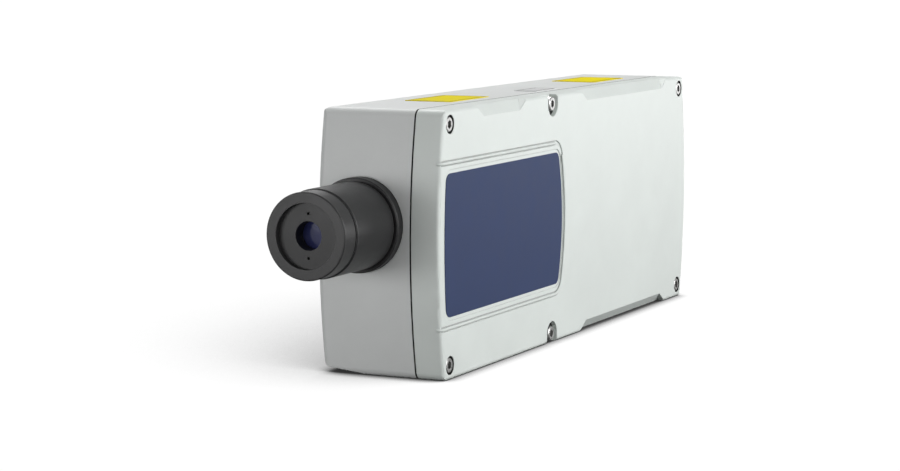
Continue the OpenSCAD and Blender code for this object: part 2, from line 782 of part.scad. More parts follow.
// Lens cell: it slides in the ring's bore, and its flange rides on the two guide rods
module lens_cell() color("#4a4c50") on_beam() difference() {
    turned_y() polygon([
        [lens_r, cell_front], [cell_r, cell_front], [cell_r, cell_flange_front],
        [cell_flange_r, cell_flange_front], [cell_flange_r, cell_flange_front + cell_flange_t],
        [cell_r, cell_flange_front + cell_flange_t], [cell_r, cell_back],
        [lens_seat_r, cell_back], [lens_seat_r, lens_back], [lens_r, lens_back]]);
    at_rods() rod_y(rod_r + run_fit, cell_flange_front - over, cell_flange_front + cell_flange_t + over);
}
module focus_lens() color("lightsteelblue") on_beam() turned_y() {
    translate([0, lens_front]) square([lens_r, lens_edge]);
    intersection() {
        translate([0, cell_front]) square([lens_seat_r, cell_l]);
        translate([0, lens_front + sqrt(pow(lens_bow_front, 2) - pow(lens_seat_r, 2))])
            circle(lens_bow_front, $fn = bow_facets);
        translate([0, lens_back - sqrt(pow(lens_bow_back, 2) - pow(lens_seat_r, 2))])
            circle(lens_bow_back, $fn = bow_facets);
    }
}
module cell_lock_ring() color("#3a3c40") on_beam() difference() {
    rod_y(lens_r, lens_front - lock_t, lens_front);
    rod_y(lens_seat_r, lens_front - lock_t - over, lens_front + over);
}

// Optical bench, with a window for the laser and six screws into the base
module optical_bench() color("#8d9299") difference() {
    from_front(bench_y) along_x(bench_under, bench_top) difference() {
        translate([0, -bench_h / 2]) square([bench_l, bench_h]);
        translate([laser_y - bench_y - cap_t - window_margin, laser_z - mid_z - laser_r - window_margin])
            square([laser_l + 2 * cap_t + 2 * window_margin, 2 * laser_r + 2 * window_margin]);
    }
    at_bench_posts() rod_x(bench_screw_r + fit, bench_under - over, bench_top + over);
    on_laser() at_clamp_screws() rod_x(clamp_screw_r, -clamp_wall - clamp_bite, 0);
}
module bench_screws() color("silver") translate([bench_top, 0, 0]) at_bench_posts()
    cap_screw(bench_screw_r, bench_t + bench_head_h, bench_head_r, bench_head_h,
        socket_share * bench_screw_r, bench_head_h / 2);

// Laser tube between two end caps, held by two clamps that bridge the bench's window
module on_laser() from_front(laser_y, beam_x, laser_z) children();
module laser_tube() color("#b9bec4") on_laser() rod_y(laser_r, 0, laser_l);
module laser_end_caps() color("#e8e4da") on_laser() {
    difference() {
        rod_y(laser_r, -cap_t, 0);
        rod_y(beam_hole_r, -cap_t - over, -over);
    }
    rod_y(laser_r, laser_l, laser_l + cap_t);
}
module at_clamps() for (y = [clamp_inset, laser_l - clamp_inset])
    translate([-beam_height, y - clamp_w / 2, 0]) children();
module at_clamp_screws() at_clamps() for (s = [-1, 1])
    translate([clamp_wall, clamp_w / 2, s * (clamp_half + clamp_foot) / 2]) children();
module laser_clamps() color("#5c6066") on_laser() difference() {
    at_clamps() {
        block(beam_height + clamp_half, clamp_w, 2 * clamp_half);
        block(clamp_wall, clamp_w, 2 * clamp_foot);
    }
    rod_y(laser_r, 0, laser_l);
    at_clamp_screws() rod_x(clamp_screw_r, -clamp_wall - over, over);
}
module clamp_screws() color("silver") on_laser() at_clamp_screws()
    cap_screw(clamp_screw_r, clamp_wall + clamp_bite, flange_screw_head_r, flange_screw_head_r,
        socket_share * clamp_screw_r, clamp_screw_r);

// Interferometer: two fold mirrors, three splitter cubes, the wave plate and the Bragg cell
module at_mirrors() {
    on_bench(column_a_y, laser_z) children();
    on_bench(column_b_y, beam_z - path_gap) mirror([0, 1, 0]) children();
}
module on_mirror()
    translate([beam_height, 0, 0]) rotate([-45, 0, 0]) translate([0, 0, -mirror_t]) children();
module fold_mirror_blocks() color("#5c6066") at_mirrors() difference() {
    translate([0, -mirror_block / 2, 0]) block(beam_height + mirror_r, mirror_block, mirror_block);
    on_mirror() translate([-2 * mirror_block, -2 * mirror_block, 0]) cube(4 * mirror_block);
}
module fold_mirrors() color("#cfd6dc") at_mirrors() on_mirror() cylinder(r = mirror_r, h = mirror_t);
module at_cubes() {
    on_bench(column_a_y, beam_z - path_gap) children();
    on_bench(column_a_y, beam_z) children();
    on_bench(column_b_y, beam_z) children();
}
module splitter_plinths() color("#5c6066") at_cubes()
    translate([0, -cube_a / 2, 0]) block(beam_height - cube_a / 2, cube_a, cube_a);
module splitter_cubes() color("#a9c4d6") at_cubes()
    translate([beam_height - cube_a / 2, -cube_a / 2, 0]) block(cube_a, cube_a, cube_a);
module waveplate_holder() color("#5c6066") on_bench(wave_y, beam_z) difference() {
    block(beam_height + wave_block / 2, wave_t, wave_block);
    translate([beam_height, 0, 0]) rod_y(wave_r, wave_t - wave_glass_t, wave_t + over);
    translate([beam_height, 0, 0]) rod_y(wave_r - over, -over, wave_t);
}
module quarter_waveplate() color("#c7d7e6") on_bench(wave_y, beam_z) translate([beam_height, 0, 0])
    rod_y(wave_r, wave_t - wave_glass_t, wave_t);
module on_bragg() on_bench(bragg_y - bragg_l / 2, beam_z - path_gap) children();
module bragg_cell() color("#7a7f86") on_bragg() difference() {
    block(2 * beam_height, bragg_l, bragg_h);
    translate([beam_height, 0, 0]) rod_y(bragg_bore_r, -over, bragg_l + over);
    translate([beam_height - bragg_bore_r, (bragg_l - bragg_crystal_l) / 2, 0])
        block(2 * bragg_bore_r, bragg_crystal_l, 2 * bragg_bore_r);
}
module bragg_crystal() color("#d9e6ee") on_bragg()
    translate([beam_height - bragg_bore_r, (bragg_l - bragg_crystal_l) / 2, 0])
        block(2 * bragg_bore_r, bragg_crystal_l, 2 * bragg_bore_r);

// Detectors: one behind the last cube and one above it, each a small upright board
module at_detectors() {
    on_bench(column_b_y + detector_gap, beam_z) children();
    on_bench(column_b_y, beam_z + detector_gap) rotate([90, 0, 0]) children();
}
module detector_boards() color("#2f6b45") at_detectors()
    block(beam_height + detector_a / 2, pcb_t, detector_a);
module photodiodes() color("#c9a54a") at_detectors()
    translate([beam_height, 0, 0]) rod_y(diode_r, -diode_h, 0);

// Boards on hexagon spacers: the front pair of rows stands on the bench, the rear on the base
module board(y, length) from_front(y, board_x) block(pcb_t, length, board_h);
module at_board_corners(y, length)
    for (dy = [board_edge, length - board_edge])
        from_front(y + dy) both_heights(mid_z - board_h / 2 + spacer_inset) children();
module at_board_screws() {
    at_board_corners(signal_board_y, signal_board_l) children();
    at_board_corners(power_board_y, power_board_l) children();
}
module signal_board() color("#2f6b45") difference() {
    board(signal_board_y, signal_board_l);
    at_board_screws() rod_x(board_screw_r, board_x - over, board_x + pcb_t + over);
}
module power_board() color("#2f6b45") difference() {
    board(power_board_y, power_board_l);
    at_board_screws() rod_x(board_screw_r, board_x - over, board_x + pcb_t + over);
}
module hex_spacer(x0) difference() {
    translate([x0, 0, 0]) rotate([0, 90, 0]) cylinder(r = spacer_af / sqrt(3), h = board_x - x0, $fn = 6);
    rod_x(board_screw_r, board_x - spacer_thread, board_x + over);
}
module board_spacers() color("#c9a54a") {
    at_board_corners(signal_board_y, signal_board_l) hex_spacer(bench_top);
    at_board_corners(power_board_y, power_board_l) hex_spacer(floor_x);
}
module board_screws() color("silver") translate([board_x + pcb_t, 0, 0]) at_board_screws()
    cap_screw(board_screw_r, pcb_t + spacer_thread, board_head_r, board_head_h,
        board_screw_r, board_head_h / 2);
module signal_chips() color("#26272b") for (i = [1:chip_count], j = [0, 1])
    from_front(signal_board_y + 2 * board_edge + (i - 1) * chip_pitch, board_x + pcb_t,
        mid_z - chip_pitch / 2 + j * chip_pitch)
        block(chip_t, chip_a, chip_a);
module shield_can() color("#b8bcc2")
    from_front(signal_board_y + 2 * board_edge, board_x - can_h,
        mid_z + board_h / 2 - can_w / 2 - 2 * spacer_af)
        difference() {
            block(can_h, can_l, can_w);
            translate([can_wall, can_wall, 0]) block(can_h, can_l - 2 * can_wall, can_w - 2 * can_wall);
        }
module power_parts() color("#3c4a63") for (i = [0:2], j = [0, 1])
    from_front(power_board_y + board_edge + capacitor_r + i * 3 * capacitor_r, board_x + pcb_t,
        mid_z - 2 * capacitor_r + j * 4 * capacitor_r) rod_x(capacitor_r, 0, capacitor_h);

// Laser supply: a potted block with two feet on the base's floor
module on_supply() from_front(supply_y, floor_x, mid_z + supply_drop) children();
module laser_supply() color("#36383c") on_supply() difference() {
    union() {
        block(supply_d, supply_l, supply_h);
        block(supply_foot_t, supply_l, supply_h + 2 * supply_foot);
    }
    at_supply_screws() rod_x(board_screw_r, -over, supply_foot_t + over);
}
module at_supply_screws() for (y = [supply_foot, supply_l - supply_foot], s = [-1, 1])
    translate([0, y, s * (supply_h + supply_foot) / 2]) children();
module supply_screws() color("silver") on_supply() translate([supply_foot_t, 0, 0]) at_supply_screws()
    cap_screw(board_screw_r, 2 * supply_foot_t, board_head_r, board_head_h,
        board_screw_r, board_head_h / 2);

// Rear fittings: each connector's flange sits in a spot face, with its nut inside
module plug_shell(r, flange, wall) difference() {
    union() {
        rod_y(flange, 0, plug_flange_t);
        rod_y(r, 0, plug_reach);
        rod_y(r - wall, -rear_pad_t - plug_inner_l, 0);
    }
    rod_y(r - wall, plug_reach - socket_depth, plug_reach + over);
    rod_y(r - wall - insert_step, plug_reach - socket_depth - insert_t, plug_reach);
}
module plug_insert(r, rows) translate([0, plug_reach - socket_depth, 0]) difference() {
    rod_y(r, -insert_t, 0);
    for (row = rows, i = [1:row[1]]) rotate([0, i * 360 / row[1], 0]) translate([row[0], 0, 0])
        rod_y(contact_r, -contact_d, over);
}
module plug_nut(r, rise, flange)
    translate([0, seat(rise, flange) - rear_pad_t - plug_nut_t, 0]) difference() {
        rotate([-90, 0, 0]) cylinder(r = r + plug_nut_extra, h = plug_nut_t, $fn = 6);
        rod_y(r, -over, plug_nut_t + over);
    }
module main_connector() color("silver") at_main_plug() plug_shell(main_plug_r, plug_flange_r, plug_wall);
module main_insert() color("#1c1c1e") at_main_plug()
    plug_insert(main_plug_r - plug_wall - insert_step, main_rows);
module main_connector_nut() color("silver") at_main_plug()
    plug_nut(main_plug_r - plug_wall, main_plug_rise, plug_flange_r);
module signal_connector() color("silver") at_signal_plug()
    plug_shell(signal_plug_r, signal_flange_r, signal_wall);
module signal_insert() color("#1c1c1e") at_signal_plug()
    plug_insert(signal_plug_r - signal_wall - insert_step, signal_rows);
module signal_connector_nut() color("silver") at_signal_plug()
    plug_nut(signal_plug_r - signal_wall, signal_plug_drop, signal_flange_r);
module status_light() color("#7fd08a") at_rear(light_rise, light_r)
    rod_y(light_r, -end_wall - light_proud, seat(light_rise, light_r) + light_proud);
module pressure_vent() color("#3a3c40") at_rear(-vent_drop, vent_r) {
    rod_y(vent_r, 0, vent_proud);
    rod_y(vent_r / 2, -2 * end_wall, 0);
}

housing_base();
housing_lid();
lid_gasket();
lid_corner_screws();
lid_middle_screws();
front_label();
top_plate_front();
top_plate_middle();
top_plate_rear();
lens_flange();
flange_seal();
lens_barrel();
flange_screws();
barrel_back_ring();
guide_rods();
focus_ring();
ring_keeper();
window_retainer();
window_seal();
front_window();
lens_cell();
focus_lens();
cell_lock_ring();
optical_bench();
bench_screws();
laser_tube();
laser_end_caps();
laser_clamps();
clamp_screws();
fold_mirror_blocks();
fold_mirrors();
splitter_plinths();
splitter_cubes();
waveplate_holder();
quarter_waveplate();
bragg_cell();
bragg_crystal();
detector_boards();
photodiodes();
signal_board();
signal_chips();
shield_can();
power_board();
power_parts();
board_spacers();
board_screws();
laser_supply();
supply_screws();
main_connector();
main_insert();
main_connector_nut();
signal_connector();
signal_insert();
signal_connector_nut();
status_light();
pressure_vent();
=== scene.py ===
"""Looks of the laser vibration sensor: paint, metal, glass and film, and a soft white studio."""
import json
import math

import bpy
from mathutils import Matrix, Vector


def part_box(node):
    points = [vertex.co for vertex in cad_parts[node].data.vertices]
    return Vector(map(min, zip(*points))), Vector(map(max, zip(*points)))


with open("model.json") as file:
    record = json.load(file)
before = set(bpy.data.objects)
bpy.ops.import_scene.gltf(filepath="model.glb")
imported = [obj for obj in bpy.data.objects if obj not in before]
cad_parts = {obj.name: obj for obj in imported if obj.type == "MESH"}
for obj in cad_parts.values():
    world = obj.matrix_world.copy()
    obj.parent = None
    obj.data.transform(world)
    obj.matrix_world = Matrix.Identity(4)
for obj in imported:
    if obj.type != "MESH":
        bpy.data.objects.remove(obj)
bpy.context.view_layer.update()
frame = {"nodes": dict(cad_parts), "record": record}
nodes = frame["nodes"]
scene = bpy.context.scene
MM = 0.001
MICRON = 0.000001

# Places on the object: the beam, the lid's face, the joint, and the screw seats, with Z from the middle
BEAM = (-10.2 * MM, 0.0, 80 * MM)
LID_FACE_X = 35.5 * MM
SEAT_FLOOR_X = 31.0 * MM
# The joint and the screw seats are where shade is painted almost black into the paint
JOINT_X = 19.1 * MM
JOINT_HALF = 0.40 * MM
MIDDLE_Z = 70 * MM
CORNER_SEAT_Y, CORNER_SEAT_Z = 169.3 * MM, 62.5 * MM
MIDDLE_SEAT_Y, MIDDLE_SEAT_Z = -34.5 * MM, 65.0 * MM
CORNER_SEAT_R, CORNER_SEAT_DEPTH = 5.25 * MM, 0.25 * MM
MIDDLE_SEAT_R, MIDDLE_SEAT_DEPTH = 7.4 * MM, 2.4 * MM
SEAT_BLUR, DEPTH_BLUR, JOINT_BLUR = 0.15 * MM, 0.10 * MM, 0.12 * MM

# How much of the tone is taken away by the painted shade in the screw seats and the joint, or by a printed
# line
DARKENING = 0.94

# What every node group gives, and the range of its Vary
RESULTS = ("Shade", "Vary", "Edge", "Normal")
EITHER_WAY = (-1.0, 1.0)


# Node helpers
def add(tree, kind, inputs=None, **settings):
    """Adds one node, sets its properties, and fills its inputs with values or links."""
    made = tree.nodes.new("ShaderNode" + kind)
    for key, value in settings.items():
        setattr(made, key, value)
    for key, value in (inputs or {}).items():
        socket = made.inputs[key]
        if isinstance(value, bpy.types.NodeSocket):
            tree.links.new(value, socket)
        else:
            socket.default_value = value
    return made


def maths(tree, operation, a, b=0.0, c=0.0):
    """One math node's result."""
    return add(tree, "Math", {0: a, 1: b, 2: c}, operation=operation).outputs[0]


def remap(tree, value, source, target):
    """The value carried smoothly from the source range to the target range."""
    ranges = {"From Min": source[0], "From Max": source[1], "To Min": target[0], "To Max": target[1]}
    return add(tree, "MapRange", {"Value": value, **ranges}, interpolation_type="SMOOTHSTEP").outputs[0]


def new_group(name, inputs, outputs):
    """A node group with named float or vector inputs and outputs."""
    tree = bpy.data.node_groups.new(name, "ShaderNodeTree")
    for key, value in inputs.items():
        kind = "NodeSocketVector" if isinstance(value, tuple) else "NodeSocketFloat"
        tree.interface.new_socket(key, in_out="INPUT", socket_type=kind).default_value = value
    for key in outputs:
        kind = "NodeSocketVector" if key == "Normal" else "NodeSocketFloat"
        tree.interface.new_socket(key, in_out="OUTPUT", socket_type=kind)
    return tree, tree.nodes.new("NodeGroupInput").outputs, tree.nodes.new("NodeGroupOutput").inputs


def noise(tree, vector, scale, detail, roughness):
    """Noise from 0 to 1, with the scale in cells to the metre."""
    return add(tree, "TexNoise", {"Vector": vector, "Scale": scale, "Detail": detail,
                                  "Roughness": roughness}).outputs["Fac"]


def edges(tree, radius):
    """A normal that rounds the edges, and a mask that is 1 where it leans away from the true one."""
    soft = add(tree, "Bevel", {"Radius": radius}, samples=4).outputs[0]
    true = add(tree, "NewGeometry").outputs["Normal"]
    facing = add(tree, "VectorMath", {0: soft, 1: true}, operation="DOT_PRODUCT").outputs["Value"]
    return soft, remap(tree, facing, source=(0.995, 0.86), target=(0.0, 1.0))


def painted_crevice_shade(tree, reach, low):
    """Painted shade: 1 on open faces, falling to low in corners and sockets that are narrower than the
    reach.
    """
    seen = add(tree, "AmbientOcclusion", {"Distance": reach}, samples=8, only_local=True).outputs["AO"]
    return remap(tree, seen, source=(0.3, 0.95), target=(low, 1.0))


def object_place(tree):
    """The place on the object, in metres."""
    return add(tree, "TexCoord").outputs["Object"]


def finish_group(tree, out, shade, vary, edge, height, distance, soft):
    """Joins a group's results to its outputs, with the height as a bump on the rounded normal."""
    bump = add(tree, "Bump", {"Strength": 1.0, "Distance": distance, "Height": height, "Normal": soft})
    for key, value in zip(RESULTS, (shade, vary, edge, bump.outputs[0])):
        tree.links.new(value, out[key])


def darkened(tree, shade, mask):
    """The shade, almost black where the mask is 1."""
    return maths(tree, "MULTIPLY", shade, maths(tree, "MULTIPLY_ADD", mask, -DARKENING, 1.0))


def screw_seat(tree, x, across, up, reach, depth):
    """Mask for painted shade: 1 in a round seat, from the given depth under the lid's face down; 0
    elsewhere.
    """
    place = add(tree, "CombineXYZ", {"X": across, "Y": up}).outputs[0]
    radius = add(tree, "VectorMath", {0: place}, operation="LENGTH").outputs["Value"]
    near = remap(tree, radius, source=(reach - SEAT_BLUR, reach), target=(1.0, 0.0))
    deep = remap(tree, x, source=(LID_FACE_X - depth - DEPTH_BLUR, LID_FACE_X - depth), target=(1.0, 0.0))
    return maths(tree, "MULTIPLY", near, deep)


def painted_seat_and_joint_shade(tree, place):
    """1 where shade is painted: in the screw seats and in the joint between the castings, worked out from
    the place.
    """
    x, y, z = add(tree, "SeparateXYZ", {0: place}).outputs
    high = maths(tree, "ABSOLUTE", maths(tree, "SUBTRACT", z, MIDDLE_Z))
    corner = screw_seat(tree, x, maths(tree, "SUBTRACT", maths(tree, "ABSOLUTE", y), CORNER_SEAT_Y),
                        maths(tree, "SUBTRACT", high, CORNER_SEAT_Z), CORNER_SEAT_R, CORNER_SEAT_DEPTH)
    middle = screw_seat(tree, x, maths(tree, "SUBTRACT", y, MIDDLE_SEAT_Y),
                        maths(tree, "SUBTRACT", high, MIDDLE_SEAT_Z), MIDDLE_SEAT_R, MIDDLE_SEAT_DEPTH)
    above_floor = maths(tree, "GREATER_THAN", x, SEAT_FLOOR_X)
    seats = maths(tree, "MULTIPLY", maths(tree, "MAXIMUM", corner, middle), above_floor)
    from_joint = maths(tree, "ABSOLUTE", maths(tree, "SUBTRACT", x, JOINT_X))
    joint = remap(tree, from_joint, source=(JOINT_HALF, JOINT_HALF + JOINT_BLUR), target=(1.0, 0.0))
    return maths(tree, "MAXIMUM", seats, joint)


def cast_paint_group():
    """Fine leather-like grain of sprayed paint on a casting, with painted shade in its crevices and almost
    black painted shade in its screw seats and joint.
    """
    tree, take, out = new_group("Sprayed paint", {"Grain": 1500.0, "Depth": 10 * MICRON,
                                                  "Rounding": 0.5 * MM, "Crevice": 1.6 * MM}, RESULTS)
    place = object_place(tree)
    soft, edge = edges(tree, take["Rounding"])
    fine = noise(tree, place, scale=take["Grain"], detail=3.0, roughness=0.55)
    broad = noise(tree, place, scale=38.0, detail=4.0, roughness=0.6)
    orange = noise(tree, place, scale=420.0, detail=2.0, roughness=0.5)
    height = maths(tree, "MULTIPLY_ADD", orange, 0.8, fine)
    tone = maths(tree, "MULTIPLY_ADD", fine, 0.35, broad)
    shade = remap(tree, tone, source=(0.35, 1.0), target=(0.972, 1.018))
    # Shade is painted here: almost black in the screw seats and the joint
    painted_shade_mask = painted_seat_and_joint_shade(tree, place)
    # Shade is painted darker in narrow corners and crevices
    shade = maths(tree, "MULTIPLY", shade, painted_crevice_shade(tree, take["Crevice"], low=0.5))
    shade = darkened(tree, shade, painted_shade_mask)
    edge = maths(tree, "MULTIPLY", edge, maths(tree, "SUBTRACT", 1.0, painted_shade_mask))
    patches = maths(tree, "ADD", broad, orange)
    vary = remap(tree, patches, source=(0.6, 1.4), target=EITHER_WAY)
    finish_group(tree, out, shade, vary, edge, height, take["Depth"], soft)
    return tree


def turned_group():
    """Fine tool rings round an axis along Y: they follow the radius and the length, never the angle."""
    tree, take, out = new_group("Turned metal", {"Axis": BEAM, "Rings": 5200.0, "Depth": 3 * MICRON,
                                                 "Rounding": 0.3 * MM}, RESULTS)
    place = object_place(tree)
    soft, edge = edges(tree, take["Rounding"])
    off = add(tree, "VectorMath", {0: place, 1: take["Axis"]}, operation="SUBTRACT").outputs[0]
    flat = add(tree, "VectorMath", {0: off, 1: (1.0, 0.0, 1.0)}, operation="MULTIPLY").outputs[0]
    radius = add(tree, "VectorMath", {0: flat}, operation="LENGTH").outputs["Value"]
    length = add(tree, "SeparateXYZ", {0: place}).outputs["Y"]
    rings = add(tree, "CombineXYZ", {"X": radius, "Y": length}).outputs[0]
    tool = noise(tree, rings, scale=take["Rings"], detail=2.0, roughness=0.6)
    grain = noise(tree, place, scale=2600.0, detail=2.0, roughness=0.5)
    broad = noise(tree, place, scale=60.0, detail=3.0, roughness=0.6)
    height = maths(tree, "MULTIPLY_ADD", grain, 0.6, tool)
    tone = maths(tree, "ADD", tool, broad)
    shade = remap(tree, tone, source=(0.55, 1.45), target=(0.9, 1.1))
    patches = maths(tree, "ADD", broad, grain)
    vary = remap(tree, patches, source=(0.6, 1.4), target=EITHER_WAY)
    finish_group(tree, out, shade, vary, edge, height, take["Depth"], soft)
    return tree


def plain_group():
    """Plain surface of moulded, milled or polished pieces: an even grain, faint smears, and painted shade
    in sockets and corners.
    """
    tree, take, out = new_group("Plain surface", {"Grain": 2200.0, "Stretch": (1.0, 1.0, 1.0),
                                                  "Depth": 4 * MICRON, "Rounding": 0.2 * MM,
                                                  "Crevice": 2.5 * MM}, RESULTS)
    place = object_place(tree)
    soft, edge = edges(tree, take["Rounding"])
    drawn = add(tree, "VectorMath", {0: place, 1: take["Stretch"]}, operation="MULTIPLY").outputs[0]
    grain = noise(tree, drawn, scale=take["Grain"], detail=3.0, roughness=0.55)
    smear = noise(tree, place, scale=95.0, detail=3.0, roughness=0.65)
    tone = maths(tree, "MULTIPLY_ADD", grain, 0.5, smear)
    shade = remap(tree, tone, source=(0.45, 1.05), target=(0.94, 1.05))
    # Shade is painted darker in sockets and narrow corners
    shade = maths(tree, "MULTIPLY", shade, painted_crevice_shade(tree, take["Crevice"], low=0.1))
    patches = maths(tree, "MULTIPLY_ADD", grain, 0.4, smear)
    vary = remap(tree, patches, source=(0.4, 1.0), target=EITHER_WAY)
    finish_group(tree, out, shade, vary, edge, grain, take["Depth"], soft)
    return tree


def film_group():
    """Printed film on a plate: a fine grain, and a dark line just inside the plate's edge."""
    tree, take, out = new_group("Printed film", {"Middle": (0.0, 0.0, 0.0), "Half": (1.0, 1.0, 1.0),
                                                 "Border": 1.6 * MM, "Line": 0.5 * MM}, RESULTS)
    place = object_place(tree)
    soft, edge = edges(tree, 0.1 * MM)
    grain = noise(tree, place, scale=1800.0, detail=3.0, roughness=0.55)
    smear = noise(tree, place, scale=70.0, detail=3.0, roughness=0.65)
    off = add(tree, "VectorMath", {0: place, 1: take["Middle"]}, operation="SUBTRACT").outputs[0]
    off = add(tree, "VectorMath", {0: off}, operation="ABSOLUTE").outputs[0]
    inset = add(tree, "VectorMath", {0: take["Half"], 1: off}, operation="SUBTRACT").outputs[0]
    sides = add(tree, "SeparateXYZ", {0: inset}).outputs
    nearest = maths(tree, "MINIMUM", sides["X"], sides["Y"])
    from_line = maths(tree, "ABSOLUTE", maths(tree, "SUBTRACT", nearest, take["Border"]))
    line = maths(tree, "LESS_THAN", from_line, take["Line"])
    tone = maths(tree, "MULTIPLY_ADD", grain, 0.4, smear)
    shade = remap(tree, tone, source=(0.45, 1.0), target=(0.95, 1.04))
    shade = darkened(tree, shade, line)
    vary = remap(tree, smear, source=(0.3, 0.7), target=EITHER_WAY)
    finish_group(tree, out, shade, vary, edge, grain, 3 * MICRON, soft)
    return tree


GROUPS = {
    "paint": cast_paint_group(),
    "turned": turned_group(),
    "plain": plain_group(),
    "film": film_group(),
}


# Surfaces
def surface(name, group, colour, wear_and_painted_highlight, rough, spread=0.05, metallic=0.0, settings=None, shader=None):
    """A material whose colour, roughness and normal follow one of the groups.

    Edges take the edge colour, which is wear and a painted highlight along the rounded edges; the
    roughness varies by the spread either way.
    """
    made = bpy.data.materials.new(name)
    made.use_nodes = True
    tree = made.node_tree
    tree.nodes.clear()
    work = tree.nodes.new("ShaderNodeGroup")
    work.node_tree = GROUPS[group]
    for key, value in (settings or {}).items():
        work.inputs[key].default_value = value
    toned = add(tree, "VectorMath", {0: colour, 1: work.outputs["Shade"]},
                operation="MULTIPLY").outputs[0]
    # Rounded edges get the lighter edge colour: wear and a painted highlight
    mixed = add(tree, "Mix", {0: work.outputs["Edge"], 6: toned, 7: (*wear_and_painted_highlight, 1.0)}, data_type="RGBA")
    roughness = maths(tree, "MULTIPLY_ADD", work.outputs["Vary"], spread, rough)
    skin = add(tree, "BsdfPrincipled", {"Base Color": mixed.outputs[2], "Roughness": roughness,
                                        "Metallic": metallic, "Normal": work.outputs["Normal"],
                                        **(shader or {})})
    end = tree.nodes.new("ShaderNodeOutputMaterial")
    tree.links.new(skin.outputs[0], end.inputs["Surface"])
    return made


def plate_size(node):
    """A plate's middle and half size, for the border printed on it."""
    first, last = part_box(node)
    return {"Middle": (first + last) / 2, "Half": (last - first) / 2}


FINISHES = {
    "cast_base": surface(
        "Base paint", "paint", (0.80, 0.82, 0.812), (0.86, 0.87, 0.865),
        rough=0.46, shader={"Specular IOR Level": 0.4}),
    "cast_lid": surface(
        "Lid paint", "paint", (0.822, 0.872, 0.842), (0.88, 0.91, 0.89),
        rough=0.44, shader={"Specular IOR Level": 0.4}),
    "seal_rubber": surface(
        "Seal rubber", "plain", (0.02, 0.02, 0.021), (0.05, 0.05, 0.05),
        rough=0.7),
    "screw_steel": surface(
        "Screw steel", "plain", (0.62, 0.62, 0.61), (0.75, 0.75, 0.74),
        rough=0.42, spread=0.06, metallic=1.0),
    "label_blue": surface(
        "Blue film", "plain", (0.048, 0.068, 0.150), (0.09, 0.11, 0.2),
        rough=0.5, settings={"Rounding": 0.1 * MM}, shader={"Specular IOR Level": 0.1}),
    "plate_yellow": surface(
        "Yellow film", "film", (0.93, 0.78, 0.0), (0.95, 0.82, 0.02),
        rough=0.6, settings=plate_size("top_plate_front"), shader={"Specular IOR Level": 0.05}),
    "plate_white": surface(
        "White film", "film", (0.78, 0.79, 0.79), (0.85, 0.85, 0.85),
        rough=0.4, settings=plate_size("top_plate_middle"), shader={"Specular IOR Level": 0.25}),
    # The barrel's and ring's lighter edge colour is wear and a painted highlight on their chamfers
    "barrel_black": surface(
        "Barrel anodising", "turned", (0.020, 0.020, 0.021), (0.15, 0.15, 0.15),
        rough=0.42, settings={"Rounding": 0.6 * MM}, shader={"Specular IOR Level": 0.42}),
    "ring_black": surface(
        "Ring anodising", "turned", (0.032, 0.032, 0.033), (0.15, 0.15, 0.15),
        rough=0.40, settings={"Rounding": 0.6 * MM}, shader={"Specular IOR Level": 0.42}),
    "turned_dark": surface(
        "Inner anodising", "turned", (0.05, 0.05, 0.055), (0.2, 0.2, 0.2),
        rough=0.4),
    "rod_steel": surface(
        "Ground rod", "turned", (0.55, 0.55, 0.56), (0.8, 0.8, 0.8),
        rough=0.22, metallic=1.0),
    "coated_glass": surface(
        "Coated window", "plain", (0.028, 0.034, 0.12), (0.05, 0.06, 0.2),
        rough=0.1, spread=0.03, settings={"Depth": 0.2 * MICRON},
        shader={"Coat Weight": 0.6, "Coat Roughness": 0.05}),
    "lens_glass": surface(
        "Polished glass", "plain", (0.8, 0.87, 0.92), (0.9, 0.94, 0.97),
        rough=0.05, spread=0.02, settings={"Depth": 0.2 * MICRON},
        shader={"Transmission Weight": 0.9, "IOR": 1.6}),
    "bench_alloy": surface(
        "Milled bench", "plain", (0.6, 0.61, 0.62), (0.8, 0.8, 0.8),
        rough=0.36, spread=0.08, metallic=1.0, settings={"Stretch": (1.0, 0.06, 1.0)}),
    "mount_alloy": surface(
        "Anodised mounts", "plain", (0.09, 0.09, 0.1), (0.3, 0.3, 0.3),
        rough=0.42),
    "laser_jacket": surface(
        "Drawn jacket", "plain", (0.66, 0.67, 0.69), (0.85, 0.85, 0.85),
        rough=0.3, spread=0.06, metallic=1.0, settings={"Stretch": (1.0, 0.04, 1.0)}),
    "laser_ceramic": surface(
        "Ceramic caps", "plain", (0.8, 0.77, 0.7), (0.87, 0.85, 0.8),
        rough=0.5),
    "mirror_glass": surface(
        "Front mirror", "plain", (0.86, 0.88, 0.9), (0.95, 0.95, 0.95),
        rough=0.04, spread=0.01, metallic=1.0),
    "board_green": surface(
        "Solder resist", "plain", (0.015, 0.09, 0.04), (0.3, 0.32, 0.2),
        rough=0.35),
    "diode_gold": surface(
        "Gold and brass", "plain", (0.75, 0.55, 0.22), (0.9, 0.75, 0.4),
        rough=0.28, metallic=1.0),
    "chip_black": surface(
        "Moulded black", "plain", (0.02, 0.02, 0.022), (0.06, 0.06, 0.06),
        rough=0.5),
    "can_tin": surface(
        "Tinned sheet", "plain", (0.62, 0.63, 0.64), (0.8, 0.8, 0.8),
        rough=0.32, spread=0.08, metallic=1.0),
    "part_blue": surface(
        "Capacitor sleeve", "plain", (0.03, 0.06, 0.16), (0.1, 0.14, 0.3),
        rough=0.35),
    "supply_case": surface(
        "Potting case", "plain", (0.025, 0.025, 0.028), (0.08, 0.08, 0.08),
        rough=0.5),
    "plug_nickel": surface(
        "Nickel plate", "plain", (0.6, 0.58, 0.54), (0.85, 0.83, 0.8),
        rough=0.26, spread=0.06, metallic=1.0),
    "light_lens": surface(
        "Light lens", "plain", (0.08, 0.45, 0.14), (0.2, 0.7, 0.3),
        rough=0.25, spread=0.04, shader={"Transmission Weight": 0.35}),
}
